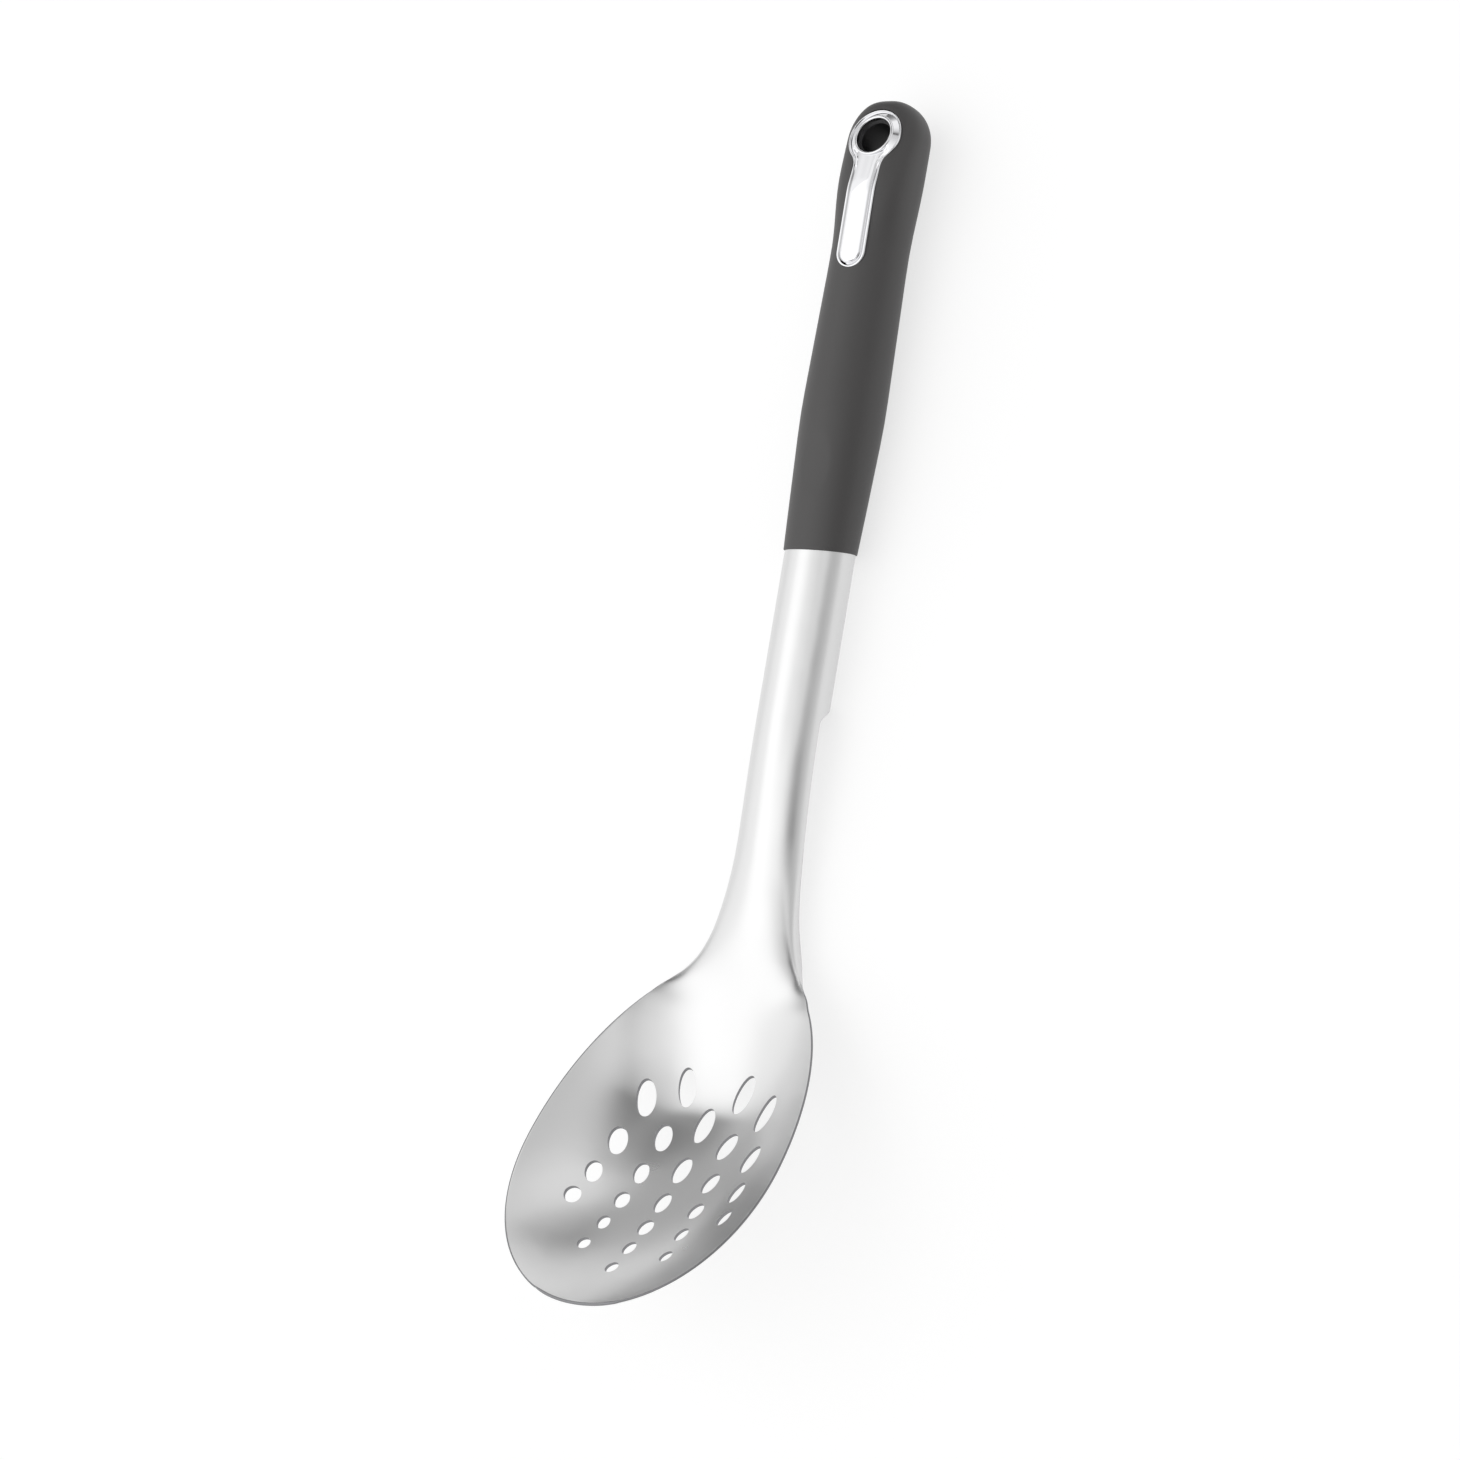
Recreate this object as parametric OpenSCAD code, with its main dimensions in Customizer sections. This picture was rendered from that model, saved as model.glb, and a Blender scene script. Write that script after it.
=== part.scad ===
// Slotted serving spoon: a pressed steel bowl and rolled stem in a soft grip with a hanging eye.
// Built in the frame of the bowl's rim, then laid down on the neck and the back of the grip.

/* [Bowl] */
// Full width of the bowl across its widest line
bowl_w = 78; // [70:1:90]
// Length from the widest line to the tip
bowl_tip_len = 46.6; // [42:0.2:54]
// Length from the widest line to where the bowl's oval would close at the neck
bowl_neck_len = 61.7; // [58:0.1:68]
// Depth of the bowl below its rim
bowl_depth = 15.2; // [10:0.2:20]
// How far the deepest point lies from the widest line, towards the neck
bowl_deep_at = 10.4; // [4:0.2:16]
// Thickness of the steel sheet
sheet_t = 0.9; // [0.8:0.1:1.4]

/* [Slots] */
// Length of the largest slots, in the row nearest the neck
slot_len = 10; // [7:0.2:11]
// Width of the largest slots
slot_w = 5; // [3.5:0.1:5.4]
// Distance from the widest line to the point that the slot columns fan out from
fan_apex = 148; // [130:1:170]
// Angle between neighbouring columns of slots
fan_step = 4.25; // [3.6:0.05:4.6]
// Lean of the side slots, outwards at the neck
slot_lean = 15; // [0:1:20]
// Distance from the widest line to the middle column's first slot
mid_slot_at = 17.8; // [14:0.2:20]
// Length of the middle column of slots, from first to last centre
slot_col_len = 49; // [42:0.5:52]

/* [Neck and stem] */
// Angle at which the stem rises from the plane of the rim
neck_rise = 28.6; // [20:0.2:34]
// Distance from the widest line to the start of the bend at the neck
neck_at = 59.2; // [56:0.2:64]
// Radius of the bend at the neck
neck_r = 20; // [12:1:40]
// Width of the stem
stem_w = 20; // [16:0.2:24]
// Depth of the closed tube, front to back
tube_d = 16; // [13:0.2:18]
// Length of the stem, from the bend to the grip
stem_len = 110.6; // [90:0.1:140]
// Length of the closed tube that shows below the grip
tube_len = 34.3; // [25:0.1:60]
// Length of the tube held inside the grip
tang_len = 38; // [25:1:50]

/* [Grip] */
// Length of the grip
grip_len = 125.9; // [115:0.1:140]
// Width of the grip at its belly, where the fingers close
belly_w = 23.4; // [21:0.2:26]
// Depth of the grip at its belly
belly_d = 21; // [18:0.2:23]
// Width of the grip at its waist
waist_w = 21.6; // [19:0.2:24]
// Depth of the grip at its waist
waist_d = 18.8; // [17:0.2:21]
// Radius of the rounded head
head_r = 11.5; // [10.8:0.1:13]
// How far the grip stands proud of the steel at its front edge
grip_lip = 0.4; // [0.3:0.05:0.8]
// How much further back the front edge lies at the back of the grip, as a share of its depth
mouth_lean = 0.12; // [0:0.01:0.15]

/* [Hanging eye] */
// Radius of the hanging hole
eye_r = 4.6; // [3.5:0.1:5]
// Outer radius of the plated ring
ring_r = 8; // [7.4:0.1:8.6]
// Distance from the middle of the ring to the end of the grip
eye_from_end = 11.6; // [10.6:0.1:12.6]
// Angle at which the face of the head slopes back
eye_tilt = 10; // [6:0.5:16]
// Length of the inlay, from the middle of the ring to the end of its tongue
tongue_len = 37.5; // [30:0.1:50]
// Width of the tongue
tongue_w = 8.8; // [6:0.1:10]

/* [Hidden] */

// Fits and cuts
fit_gap = 0.1;
cut_over = 1;
round_steps = 96;
seam_gap = 0.4;

// Bowl outline and hollow
half_w = bowl_w / 2;
bowl_hollow_power = 2.44;
bowl_run_power = 2.2;
tip_power = 2.05;
tip_half_share = 0.32;
tip_angle = asin(tip_half_share);
tip_sag = bowl_tip_len * (1 - cos(tip_angle));

// Slots: sizes of the rows as shares of the first, and their places along a column
slot_len_shares = [1, 0.8, 0.64, 0.52, 0.45, 0.39];
slot_w_shares = [1, 0.96, 0.82, 0.8, 0.65, 0.64];
slot_place_shares = [0, 0.285, 0.507, 0.685, 0.843, 1];
// Columns: how many steps out, how far the first slot is nearer the neck, and the number of slots
inner_col_ahead = 9.1;
outer_col_ahead = 2.6;
inner_col_len = slot_col_len + 3.3;
mid_rows = 6;
outer_rows = 4;

// Neck: how the shoulders run out of the oval and die away along the stem, and where the hollow turns over
stem_taper = 0.5;
flare_w = 5.9;
flare_run = 10.5;
flare_past_neck = 0.8;
line_blend = 4;
shoulder_before_neck = 12.2;
shoulder_run = 11;
shoulder_dip = 1.7;
shoulder_dip_run = 6.5;
turn_before_neck = 14.2;
turn_past_neck = 4.8;
flare_at = neck_at + flare_past_neck;
shoulder_start = neck_at - shoulder_before_neck;
shoulder_end = shoulder_start + shoulder_run;
turn_start = neck_at - turn_before_neck;
turn_end = neck_at + turn_past_neck;
rim_thin_share = 0.6;

// Stem section: an arch on an oval, whose edges wrap under to close the tube
stem_half = stem_w / 2;
tube_half_d = tube_d / 2;
neck_arch_h = 4.9;
neck_edge_drop = 1;
neck_flat_power = 5;
neck_flat_run = 24;
arch_edge_rise = 1.3;
wrap_run = 11;
swage_at = 2.4;
swage_run = 1.4;
swage_in = 1.6;
tang_half = stem_half - swage_in;
tang_half_d = tube_half_d - swage_in;

// Grip stations, as distances from its front edge
belly_at = 37.7;
waist_at = 84.1;
head_at = 105.1;
soften = 6;
crown_d = 10;
head_flat_power = 2.7;
cap_power = 2.15;
plane_soft = 0.7;
face_h = 7.5;
mouth_fade = 14;
thumb_at = 23.1;
thumb_len = 17;
thumb_w = 9;
thumb_d = 0.35;

// Inlay: a ring with a rolled lip round the hole, and a crowned tongue let into the grip
seat_d = 1.6;
ring_step = 0.5;
lip_r = 0.43;
lip_rise = 0.1;
groove_drop = 0.7;
edge_drop = 0.3;
edge_w = 0.9;
web_drop = 0.5;
strip_w = 8.6;
root_len = 15;
fold_lap = 0.1;
fold_step = 0.06;
flush_gap = 0.02;
tongue_t = 1.9;
tongue_slope = 0.5;
tongue_crown_r = 18;
fillet_r = 5;

// Core: a round post carries the hole, under a skin of the grip at the back
post_wall = 2.4;
back_skin = 2.2;
back_hole_gap = 0.5;
back_flare = 0.8;
post_bite_share = 0.7;

// Derived lengths along the developed middle line
bend_len = neck_r * neck_rise * PI / 180;
collar_s = neck_at + stem_len;
tube_s = collar_s - tube_len;
tang_s = collar_s + tang_len;
cap_u = grip_len - head_r;
eye_u = grip_len - eye_from_end;
ring_in = eye_r + ring_step;
post_r = eye_r + post_wall;
post_len = (face_h + crown_d) / cos(eye_tilt) - back_skin;
core_start = tang_len + fit_gap;
core_end = eye_u - post_r * post_bite_share;
tongue_run = tongue_len - tongue_w / 2 - root_len;
lip_at = ring_in + lip_r;

// Smooth step from 0 to 1
function ease(t) = let (u = min(1, max(0, t))) u * u * (3 - 2 * u);
function mix(a, b, t) = a * (1 - t) + b * t;

// Middle line: straight through the bowl, round the bend, then straight up the stem
function bend_angle(s) = min(neck_rise, max(0, (s - neck_at) / neck_r * 180 / PI));
function spine(s) =
    let (a = bend_angle(s), past = max(0, s - neck_at - bend_len))
    s < neck_at
        ? [0, s, 0]
        : [0, neck_at + neck_r * sin(a) + past * cos(neck_rise), neck_r * (1 - cos(a)) + past * sin(neck_rise)];
// A point of the section at s: x across, n square to the middle line
function at_section(s, x, n) = let (a = bend_angle(s)) spine(s) + [x, -n * sin(a), n * cos(a)];

// Half width of the bowl's oval at y
function oval_half(y) =
    let (len = y < 0 ? bowl_tip_len : bowl_neck_len, p = y < 0 ? tip_power : 2)
    half_w * pow(max(0, 1 - pow(abs(y) / len, p)), 1 / p);
// Half width of the neck and stem at s
function neck_half(s) =
    stem_half + stem_taper * (1 - stem_rise_share(s)) + flare_w * exp(-(s - flare_at) / flare_run);
// Half width of the sheet: the oval runs into the flare over the shoulder
function sheet_half(s) =
    mix(oval_half(s), neck_half(max(s, shoulder_start)), ease((s - shoulder_start) / (shoulder_end - shoulder_start)));
// How far the edges of the shoulders dip, where the flange of the stem meets the rim
function edge_dip(s, q) = shoulder_dip * exp(-pow((s - neck_at) / shoulder_dip_run, 2)) * pow(q, 4);
// Height of the front line of the stem, carried straight on over the bend and into the bowl
function stem_line(s) =
    let (p = spine(s))
    let (off = neck_arch_h - neck_r * (1 - cos(neck_rise)) + (p[1] - neck_at) * sin(neck_rise) - p[2] * cos(neck_rise))
    off / cos(neck_rise - bend_angle(s));
// Height of the bottom of the hollow along the middle of the bowl
function bowl_line(y) =
    let (run = y < bowl_deep_at ? bowl_deep_at + bowl_tip_len : bowl_neck_len - bowl_deep_at)
    -bowl_depth * (1 - pow(min(1, abs(y - bowl_deep_at) / run), bowl_run_power));
// The higher of the two, rounded where they meet
function middle_line(s) =
    let (a = stem_line(s), b = bowl_line(s))
    max(a, b) + pow(max(0, line_blend - abs(a - b)), 2) / line_blend / 4;
// Height of the bowl's skin at a point
function bowl_rise(x, y, half) =
    middle_line(y) * (1 - pow(half > 0 ? min(1, abs(x) / half) : 1, bowl_hollow_power));

// Oval that the stem's section lies on: half width, half depth and height of its middle
function stem_rise_share(s) = ease((s - turn_end) / (tube_s - turn_end));
function swage(s) = swage_in * ease((s - collar_s - swage_at) / swage_run);
function arch_top(s) = middle_line(s) + (tube_half_d - neck_arch_h) * stem_rise_share(s);
function arch_edge(s) = mix(-neck_edge_drop, arch_edge_rise, stem_rise_share(s));
// Half of the angle that the sheet wraps round the oval
function wrap_half(s) =
    let (open = acos(arch_edge_rise / tube_half_d))
    let (closed = 180 - asin(seam_gap / 2 / (stem_half - swage_in)))
    mix(open, closed, ease((s - tube_s + wrap_run) / wrap_run));
function arch_point(s, q) =
    let (half = sheet_half(s) - swage(s), deep = tube_half_d - swage(s), f = wrap_half(s))
    let (open = acos(arch_edge_rise / tube_half_d))
    let (p = mix(neck_flat_power, 2, ease((s - shoulder_start) / neck_flat_run)))
    let (edge = arch_crown(sin(open), p), crown = (arch_crown(sin(open * q), p) - edge) / (1 - edge))
    s < tube_s - wrap_run
        ? [half * sin(open * q), mix(arch_edge(s), arch_top(s), crown)]
        : [half * sin(f * q), deep * cos(f * q)];
// Height of an arch of unit size at x: round at power 2, flatter with tighter shoulders above it
function arch_crown(x, p) = pow(max(0, 1 - pow(abs(x), p)), 1 / p);
function bowl_point(s, q, sag) =
    let (y = s - sag * (1 - q * q), half = sheet_half(s))
    [half * q, bowl_rise(half * q, y, s < shoulder_start ? oval_half(y) : half), y];
// Upper skin of the sheet at station s and share q across, from -1 to 1
function sheet_point(s, q, sag) =
    let (b = bowl_point(s, q, sag), c = arch_point(s, q), m = ease((s - turn_start) / (turn_end - turn_start)))
    sag > 0
        ? [b[0], b[2], b[1]]
        : at_section(s, mix(b[0], c[0], m), mix(b[1], c[1], m) - edge_dip(s, q));

// Stations along the sheet, and points across it
tip_steps = 9;
bowl_steps = 12;
neck_steps = 12;
stem_steps = 7;
wrap_steps = 5;
across = 28;
neck_end = turn_end + flare_run;
stations = concat(
    [for (i = [0 : tip_steps - 1]) let (a = mix(tip_angle, 90, i / tip_steps))
        [-bowl_tip_len * cos(a), tip_sag * pow(1 - i / tip_steps, 2)]],
    [for (i = [0 : bowl_steps - 1]) [turn_start * i / bowl_steps, 0]],
    [for (i = [0 : neck_steps - 1]) [mix(turn_start, neck_end, i / neck_steps), 0]],
    [for (i = [0 : stem_steps - 1]) [mix(neck_end, tube_s - wrap_run, i / stem_steps), 0]],
    [for (i = [0 : wrap_steps]) [tube_s - wrap_run + wrap_run * i / wrap_steps, 0]],
    [[mix(tube_s, collar_s, 0.5), 0], [collar_s + swage_at, 0], [collar_s + swage_at + swage_run, 0], [tang_s, 0]]
);
rows = len(stations);
cols = across + 1;
top_grid = [for (st = stations) [for (j = [0 : across]) sheet_point(st[0], 2 * j / across - 1, st[1])]];
function unit(v) = v / norm(v);
function grid_normal(i, j) =
    let (r = min(max(i, 1), rows - 2), c = min(max(j, 1), across - 1))
    unit(cross(top_grid[r][c + 1] - top_grid[r][c - 1], top_grid[r + 1][c] - top_grid[r - 1][c]));
// The sheet is ground thinner towards its rim
function thickness(j) = sheet_t * mix(1, rim_thin_share, pow(2 * j / across - 1, 8));
blade_points = concat(
    [for (i = [0 : rows - 1]) for (j = [0 : across]) top_grid[i][j]],
    [for (i = [0 : rows - 1]) for (j = [0 : across]) top_grid[i][j] - thickness(j) * grid_normal(i, j)]
);
under = rows * cols;
function quad(a, b, c, d) = [[a, b, c], [a, c, d]];
blade_faces = concat(
    [for (i = [0 : rows - 2]) for (j = [0 : across - 1]) let (k = i * cols + j)
        each quad(k, k + cols, k + cols + 1, k + 1)],
    [for (i = [0 : rows - 2]) for (j = [0 : across - 1]) let (k = under + i * cols + j)
        each quad(k, k + 1, k + cols + 1, k + cols)],
    [for (i = [0 : rows - 2]) let (k = i * cols)
        each quad(k, under + k, under + k + cols, k + cols)],
    [for (i = [0 : rows - 2]) let (k = i * cols + across)
        each quad(k, k + cols, under + k + cols, under + k)],
    [for (j = [0 : across - 1])
        each quad(j, j + 1, under + j + 1, under + j)],
    [for (j = [0 : across - 1]) let (k = (rows - 1) * cols + j)
        each quad(k, under + k, under + k + 1, k + 1)]
);

// Grip section at u from its front edge
function soft_lookup(u, table) =
    (lookup(u - soften, table) + 2 * lookup(u, table) + lookup(u + soften, table)) / 4;
collar_half = stem_half + grip_lip;
collar_half_d = tube_half_d + grip_lip;
half_table = [
    [-belly_at, collar_half * 2 - belly_w / 2],
    [belly_at, belly_w / 2],
    [waist_at, waist_w / 2],
    [head_at, head_r],
    [grip_len * 2, head_r]
];
depth_table = [
    [-belly_at, collar_half_d * 2 - belly_d / 2],
    [belly_at, belly_d / 2],
    [waist_at, waist_d / 2],
    [head_at, crown_d],
    [grip_len * 2, crown_d]
];
function cap(u) = pow(max(0, 1 - pow(max(0, u - cap_u) / head_r, cap_power)), 1 / cap_power);
function face_line(u) = face_h - (u - eye_u) * tan(eye_tilt);
function soft_min(a, b, k) = -k * ln(exp(-a / k) + exp(-b / k));
function grip_half(u) = soft_lookup(u, half_table) * cap(u);
function grip_back(u) = soft_lookup(u, depth_table) * cap(u);
function grip_front(u) = soft_min(soft_lookup(u, depth_table) * cap(u), face_line(u), plane_soft);
function front_power(u) = mix(2, head_flat_power, ease((u - waist_at) / (head_at - waist_at)));
function thumb_dip(u, x) =
    thumb_d * max(0, 1 - pow((u - thumb_at) / thumb_len * 2, 2) - pow(x / thumb_w * 2, 2));
function mouth_shift(u, n) = mouth_lean * (collar_half_d - n) * max(0, 1 - u / mouth_fade);
function grip_point(u, f) =
    let (x = grip_half(u) * cos(f), p = front_power(u))
    let (rise = pow(max(0, 1 - pow(abs(cos(f)), p)), 1 / p))
    let (n = sin(f) < 0 ? grip_back(u) * sin(f) : grip_front(u) * rise - thumb_dip(u, x))
    at_section(collar_s + u + mouth_shift(u, n), x, n);
grip_around = 40;
grip_steps = 20;
cap_steps = 8;
cap_reach = 88;
grip_stations = concat(
    [for (i = [0 : grip_steps - 1]) cap_u * i / grip_steps],
    [for (i = [0 : cap_steps]) cap_u + head_r * sin(cap_reach * i / cap_steps)]
);
grip_rows = len(grip_stations);
grip_points = [for (u = grip_stations) for (k = [0 : grip_around - 1]) grip_point(u, 360 * k / grip_around)];
grip_faces = concat(
    [[for (k = [0 : grip_around - 1]) grip_around - 1 - k]],
    [for (i = [0 : grip_rows - 2]) for (k = [0 : grip_around - 1])
        let (a = i * grip_around + k, b = i * grip_around + (k + 1) % grip_around)
        each quad(a, b, b + grip_around, a + grip_around)],
    [[for (k = [0 : grip_around - 1]) (grip_rows - 1) * grip_around + k]]
);

// How the spoon lies down: on the lowest points of its neck and of the back of its grip
function turn(p, a) = [p[0], p[1] * cos(a) + p[2] * sin(a), p[2] * cos(a) - p[1] * sin(a)];
function lowest(points, a) = let (z = [for (p = points) turn(p, a)[2]], k = search(min(z), z)[0]) points[k];
function lean_of(p, q) = atan2(q[2] - p[2], q[1] - p[1]);
first_lean = lean_of(lowest(blade_points, neck_rise), lowest(grip_points, neck_rise));
rest_lean = lean_of(lowest(blade_points, first_lean), lowest(grip_points, first_lean));
laid_blade = [for (p = blade_points) turn(p, rest_lean)];
laid_grip = [for (p = grip_points) turn(p, rest_lean)];
floor_z = min([for (p = concat(laid_blade, laid_grip)) p[2]]);
tip_y = min([for (p = laid_blade) p[1]]);
end_y = max([for (p = laid_grip) p[1]]);

module lay_down() {
    translate([0, -(tip_y + end_y) / 2, -floor_z])
        rotate([-rest_lean, 0, 0])
            children();
}

// Frame of the handle: y along the axis from the front edge of the grip, z to the front
module on_handle() {
    translate(spine(collar_s))
        rotate([neck_rise, 0, 0])
            children();
}

// Frame of the eye: z out of the sloping face, origin in the middle of the ring
module on_eye() {
    on_handle()
        translate([0, eye_u, face_h])
            rotate([-eye_tilt, 0, 0])
                children();
}

module spoon_blade() {
    color([0.78, 0.78, 0.79])
        lay_down()
            difference() {
                polyhedron(blade_points, blade_faces, convexity = 8);
                all_slots();
            }
}

module all_slots() {
    slot_column(0, mid_slot_at, slot_col_len, mid_rows);
    for (side = [-1, 1]) {
        slot_column(side, mid_slot_at + inner_col_ahead, inner_col_len, mid_rows);
        slot_column(2 * side, mid_slot_at + outer_col_ahead, slot_col_len, outer_rows);
    }
}

// One column of slots, stepped round the fan
module slot_column(step, start, len, count) {
    for (k = [0 : count - 1])
        translate([0, fan_apex, 0])
            rotate([0, 0, step * fan_step])
                translate([0, start - fan_apex - len * slot_place_shares[k], 0])
                    rotate([0, 0, -step * fan_step - sign(step) * slot_lean])
                        slot(slot_len * slot_len_shares[k], slot_w * slot_w_shares[k]);
}

// An oval punch, a little wider below where the metal breaks out
module slot(len, wide) {
    breakout_share = 1.04;
    hull() {
        translate([0, 0, -bowl_depth - sheet_t - cut_over])
            linear_extrude(cut_over)
                scale([wide / 2 * breakout_share, len / 2 * breakout_share])
                    circle(1, $fn = 28);
        translate([0, 0, -sheet_t])
            linear_extrude(cut_over)
                scale([wide / 2, len / 2])
                    circle(1, $fn = 28);
    }
}

// Solid oval bar along the handle
module oval_bar(half, deep, len) {
    rotate([-90, 0, 0])
        scale([half, deep, 1])
            cylinder(r = 1, h = len, $fn = round_steps);
}

// Round post or hole along the eye's axis, from one depth below the face to a smaller one
module eye_post(r, from, to) {
    translate([0, 0, -from])
        cylinder(r = r, h = from - to, $fn = round_steps);
}

module handle_core() {
    tube_in = sheet_t + fit_gap;
    plug_start = swage_at + swage_run;
    color([0.07, 0.07, 0.07])
        lay_down()
            difference() {
                union() {
                    on_handle() {
                        translate([0, plug_start, 0])
                            oval_bar(tang_half - tube_in, tang_half_d - tube_in, core_end - plug_start);
                        translate([0, core_start, 0])
                            oval_bar(tang_half, tang_half_d, core_end - core_start);
                    }
                    on_eye()
                        eye_post(post_r, post_len, seat_d);
                }
                on_eye()
                    eye_post(eye_r, post_len + cut_over, seat_d - cut_over);
            }
}

module grip_sleeve() {
    mouth = swage_at + swage_run + fit_gap;
    color([0.3, 0.29, 0.29])
        lay_down()
            difference() {
                polyhedron(grip_points, grip_faces, convexity = 6);
                on_handle() {
                    translate([0, -cut_over, 0])
                        oval_bar(stem_half + fit_gap, tube_half_d + fit_gap, mouth + cut_over);
                    oval_bar(tang_half + fit_gap, tang_half_d + fit_gap, core_end + fit_gap);
                }
                on_tongue()
                    plate(tongue_t, cut_over)
                        tongue_outline(fit_gap);
                on_eye() {
                    plate(seat_d, ring_r)
                        root_outline(fit_gap + flush_gap);
                    eye_post(post_r + fit_gap, post_len + fit_gap, seat_d - fit_gap);
                    eye_post(ring_r + fit_gap, seat_d, -ring_r);
                    eye_post(eye_r + back_hole_gap, post_len + back_skin + head_r, post_len);
                    back_countersink();
                }
            }
}

// Flare of the hole in the skin at the back
module back_countersink() {
    rise = back_flare * 2;
    translate([0, 0, -post_len - back_skin - back_flare])
        cylinder(r1 = eye_r + back_hole_gap + rise, r2 = eye_r + back_hole_gap, h = rise, $fn = round_steps);
}

// Frame of the tongue: origin at the fold where it bends out of the face of the eye
module on_tongue() {
    on_eye()
        translate([0, -root_len, -fold_step])
            rotate([eye_tilt + tongue_slope, 0, 0])
                children();
}

// Plate between a depth and a height, with the outline of its child
module plate(deep, rise) {
    translate([0, 0, -deep])
        linear_extrude(deep + rise)
            children();
}

// Outline of the tongue in its own plane: straight from the fold to a round end
module tongue_outline(gap) {
    half = tongue_w / 2 + gap;
    translate([0, -tongue_run])
        circle(half, $fn = round_steps);
    translate([-half, -tongue_run])
        square([2 * half, tongue_run + fold_lap]);
}

// Outline of the root in the plane of the eye: straight from the fold, filleted into the ring
module root_outline(gap) {
    half = tongue_w / 2 + gap;
    round_r = fillet_r - gap;
    round_y = -sqrt(pow(ring_r + fillet_r, 2) - pow(tongue_w / 2 + fillet_r, 2));
    translate([-half, -root_len])
        square([2 * half, root_len]);
    difference() {
        polygon([[-half - round_r, round_y], [half + round_r, round_y], [0, 0]]);
        for (side = [-1, 1])
            translate([side * (half + round_r), round_y])
                circle(round_r, $fn = round_steps);
    }
}

module hanging_inlay() {
    color([0.9, 0.9, 0.9])
        lay_down() {
            on_eye() {
                eye_ring();
                root();
            }
            on_tongue()
                crowned()
                    plate(tongue_t, 0)
                        tongue_outline(0);
        }
}

// Rounds the top of a plate across, like the grip around it
module crowned() {
    intersection() {
        children();
        translate([0, 0, -tongue_crown_r])
            rotate([90, 0, 0])
                cylinder(r = tongue_crown_r, h = tongue_len * 2, center = true, $fn = round_steps * 2);
    }
}

// The crowned strip runs up to the lip of the ring, between the lower webs of its fillets
module root() {
    difference() {
        union() {
            crowned()
                translate([-strip_w / 2, -root_len, -seat_d])
                    cube([strip_w, root_len, seat_d]);
            plate(seat_d, -web_drop)
                root_outline(flush_gap);
        }
        eye_post(lip_at, ring_r, -ring_r);
    }
}

module eye_ring() {
    rotate_extrude($fn = round_steps)
        polygon([
            [ring_in, -seat_d],
            [ring_r, -seat_d],
            [ring_r, -edge_drop * 2],
            [ring_r - edge_drop, -edge_drop],
            [ring_r - edge_w, -edge_drop],
            [lip_at + lip_r, -groove_drop],
            [lip_at, lip_rise],
            [ring_in, lip_rise]
        ]);
    rotate_extrude($fn = round_steps)
        translate([lip_at, lip_rise])
            circle(lip_r, $fn = 32);
}

spoon_blade();
handle_core();
grip_sleeve();
hanging_inlay();
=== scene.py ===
import math

import bmesh
import bpy
import numpy as np
from mathutils import Matrix, Vector


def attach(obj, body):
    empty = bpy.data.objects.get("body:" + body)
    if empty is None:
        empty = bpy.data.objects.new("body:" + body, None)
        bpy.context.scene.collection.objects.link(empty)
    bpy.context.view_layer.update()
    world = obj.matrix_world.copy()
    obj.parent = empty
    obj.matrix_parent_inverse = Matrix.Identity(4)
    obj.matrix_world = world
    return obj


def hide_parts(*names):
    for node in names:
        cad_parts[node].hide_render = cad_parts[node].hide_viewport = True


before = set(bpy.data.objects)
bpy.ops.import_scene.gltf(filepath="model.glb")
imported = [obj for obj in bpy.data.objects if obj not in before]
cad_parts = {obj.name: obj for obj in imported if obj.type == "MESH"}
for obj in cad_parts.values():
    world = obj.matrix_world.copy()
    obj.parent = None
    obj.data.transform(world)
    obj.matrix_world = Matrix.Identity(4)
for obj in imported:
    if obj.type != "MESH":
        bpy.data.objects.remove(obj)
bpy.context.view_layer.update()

# Steel blade: slotted bowl, neck, channel stem and rolled tube, pressed from one stainless sheet.
# The oval of the bowl runs over two shoulders into the stem, whose edges close behind into a tube.
# The slots are punched straight through, and the rim is ground thin and rounded.
mm_per_m = 1000.0
sheet_t = 0.9
half_w = 39.0
bowl_tip_len = 46.6
bowl_neck_len = 61.7
bowl_tip_power = 2.05
bowl_neck_power = 2.0
bowl_depth = 15.2
bowl_deep_at = 10.4
floor_power = 2.2
floor_blend = 4.0
wall_power = 2.44
neck_rise = math.radians(28.6)
neck_at = 59.2
neck_r = 20.0
neck_arch_h = 4.9
neck_spare = 0.5
neck_lip = -1.0
neck_top_share = 0.72
neck_top_power = 6
neck_top_run = 34.0
dip_depth = 1.7
dip_run = 6.5
swell_half = 5.9
swell_at = neck_at + 0.8
swell_run = 10.5
shoulder_start = neck_at - 12.2
shoulder_end = shoulder_start + 11.0
turn_start = neck_at - 14.2
turn_end = neck_at + 4.8
stem_half = 10.0
stem_lip = 1.3
tube_half_d = 8.0
collar_s = neck_at + 110.6
tube_s = collar_s - 34.3
tang_s = collar_s + 38.0
wrap_run = 11.0
seam_half = 0.42
swage_in = 1.6
swage_from = 2.4
swage_run = 1.4
rim_thin_share = 0.6
rim_thin_power = 8
rim_inset = 0.22
rim_bulge_share = 0.8
lay_lean = math.radians(26.712)
lay_shift = (0.0, -123.283, 34.5429)


def ease(t):
    t = np.clip(t, 0.0, 1.0)
    return t * t * (3 - 2 * t)


def mix(a, b, t):
    return a * (1 - t) + b * t


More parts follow.
